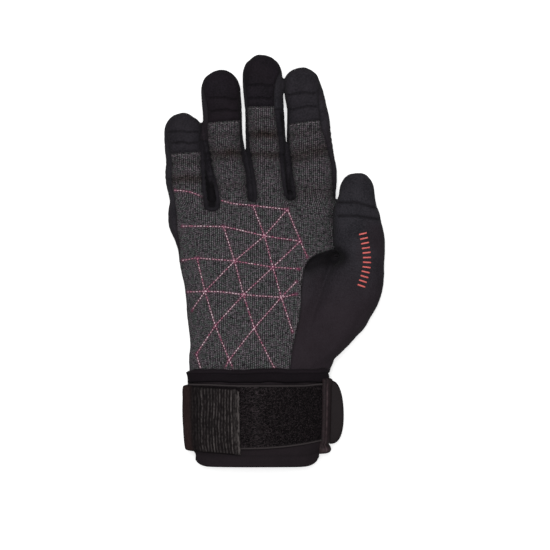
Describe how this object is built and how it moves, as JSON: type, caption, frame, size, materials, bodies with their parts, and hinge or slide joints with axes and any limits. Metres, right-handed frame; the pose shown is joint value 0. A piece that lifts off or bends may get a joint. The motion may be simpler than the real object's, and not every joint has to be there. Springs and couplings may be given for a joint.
{
  "type": "surf glove",
  "caption": "Right-hand neoprene water-sports glove, palm up, with knit palm, smooth tucked fingertips and thumb, and a wrist strap with elastic and loop panel.",
  "frame": {"origin": "on the surface that the glove lies on, under the middle of its bounding box", "axes": "+Y along the fingers, +X towards the thumb, +Z out of the palm, which faces up"},
  "size_m": [0.1254, 0.2344, 0.0276],
  "materials": {
    "neoprene": "matte black neoprene with a smooth jersey face",
    "palm_knit": "heathered grey and black knit, matte, with printed-look dashed pink stitching",
    "fingertip": "smooth black synthetic suede with sewn tucks, matte",
    "fourchette": "black stretch neoprene strip, matte",
    "cuff": "matte black neoprene sleeve",
    "rim": "soft rolled neoprene edge, slight sheen",
    "elastic": "ribbed woven black elastic, slight sheen",
    "loop": "fuzzy black loop pile",
    "keeper": "black folded binding tape",
    "tab": "soft moulded black rubber tongue, satin"
  },
  "bodies": {
    "root": {"back_panel": "neoprene", "palm_panel": "palm_knit", "thumb_panel": "neoprene", "fingertip_little": "fingertip", "fingertip_ring": "fingertip", "fingertip_middle": "fingertip", "fingertip_index": "fingertip", "fourchette_little_ring": "fourchette", "fourchette_ring_middle": "fourchette", "fourchette_middle_index": "fourchette", "cuff": "cuff", "cuff_rim": "rim", "strap_elastic": "elastic", "strap_loop": "loop", "strap_keeper": "keeper", "strap_tab": "tab"}
  },
  "joints": []
}
